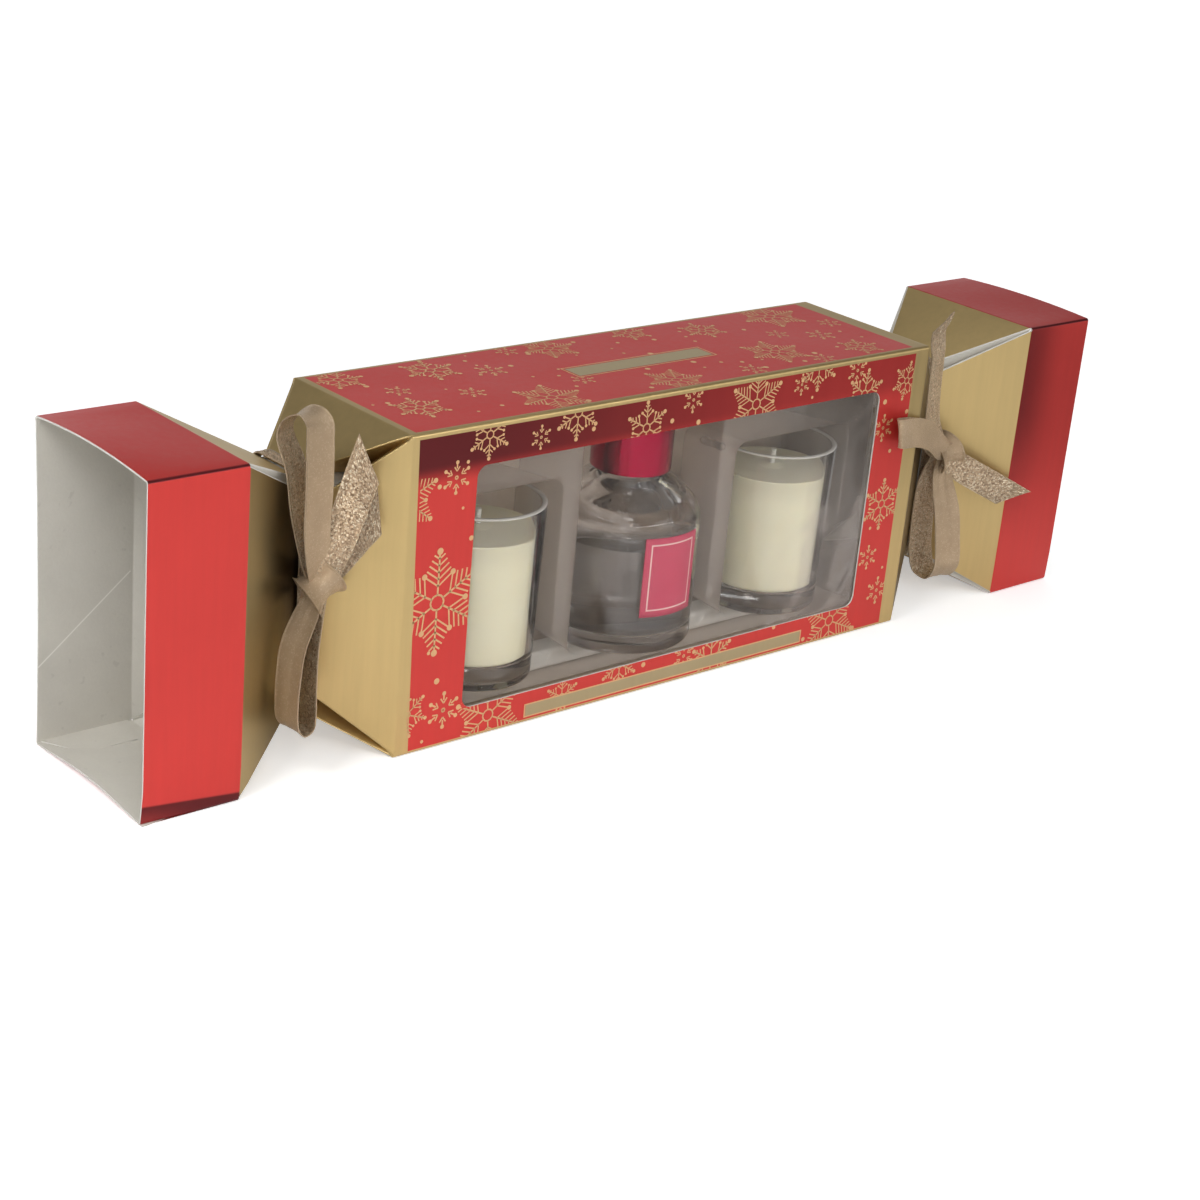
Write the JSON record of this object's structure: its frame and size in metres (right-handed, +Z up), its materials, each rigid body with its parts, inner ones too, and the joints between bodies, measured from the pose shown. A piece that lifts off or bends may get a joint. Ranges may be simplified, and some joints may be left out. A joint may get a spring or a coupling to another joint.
{
  "type": "christmas cracker",
  "caption": "Cracker-shaped foil gift carton with a film window and ribbon-tied necks, around a clear tray with votive candles and a reed diffuser",
  "frame": {"origin": "middle of the footprint, on the plane that the carton's flat underside rests on", "axes": "+X along the cracker to the right end as seen from the window side, +Y to the back, +Z up; the window faces -Y"},
  "size_m": [0.4198, 0.0737, 0.118],
  "materials": {
    "foil_board": "foil-laminated folding board, satin",
    "gold_board": "gold foil-laminated folding board, satin",
    "film": "clear glossy film",
    "tray": "clear formed sheet",
    "candle_glass": "clear glass",
    "wax": "ivory wax, satin",
    "wick": "waxed cotton",
    "tab": "pressed metal",
    "bottle_glass": "clear glass",
    "oil": "clear liquid",
    "stopper": "translucent soft plastic",
    "seal": "white foam",
    "insert": "white moulded plastic",
    "cap": "magenta anodised",
    "label": "printed paper, matte",
    "reed": "bare rattan",
    "wrap": "plain paper",
    "ribbon": "lurex satin"
  },
  "bodies": {
    "carton": {"carton_sleeve": "foil_board", "window_film": "film", "blister_tray": "tray", "left_candle_glass": "candle_glass", "right_candle_glass": "candle_glass", "left_candle_wax": "wax", "right_candle_wax": "wax", "left_candle_wick": "wick", "right_candle_wick": "wick", "left_wick_sustainer": "tab", "right_wick_sustainer": "tab", "diffuser_bottle": "bottle_glass", "perfume_oil": "oil", "bottle_stopper": "stopper", "bottle_label": "label", "diffuser_reeds": "reed", "reed_wrap": "wrap", "left_ribbon_band": "ribbon", "left_ribbon_bow": "ribbon", "right_ribbon_band": "ribbon", "right_ribbon_bow": "ribbon"},
    "left_hood": {"left_hood": "gold_board"},
    "right_hood": {"right_hood": "gold_board"},
    "seal": {"cap_seal": "seal"},
    "cap": {"cap_insert": "insert", "cap_shell": "cap"}
  },
  "joints": [
    {"name": "left_hood_swing", "type": "hinge", "parent": "carton", "child": "left_hood", "pos_m": [-0.14395, 0, 0.055], "axis": [0, 0, 1], "range_deg": [-3, 3], "stiffness_Nm_per_rad": 0.2},
    {"name": "right_hood_swing", "type": "hinge", "parent": "carton", "child": "right_hood", "pos_m": [0.14395, 0, 0.055], "axis": [0, 0, 1], "range_deg": [-3, 3], "stiffness_Nm_per_rad": 0.2},
    {"name": "cap_lift", "type": "slide", "parent": "carton", "child": "seal", "axis": [0, 0, 1], "range_m": [0, 0.0035]},
    {"name": "cap_turn", "type": "hinge", "parent": "seal", "child": "cap", "pos_m": [0.002, -0.0025, 0.08], "axis": [0, 0, 1], "range_deg": [0, 420]}
  ],
  "couplings": [
    {"joint": "cap_lift", "follows": "cap_turn", "m_per_rad": 0.00047746}
  ]
}
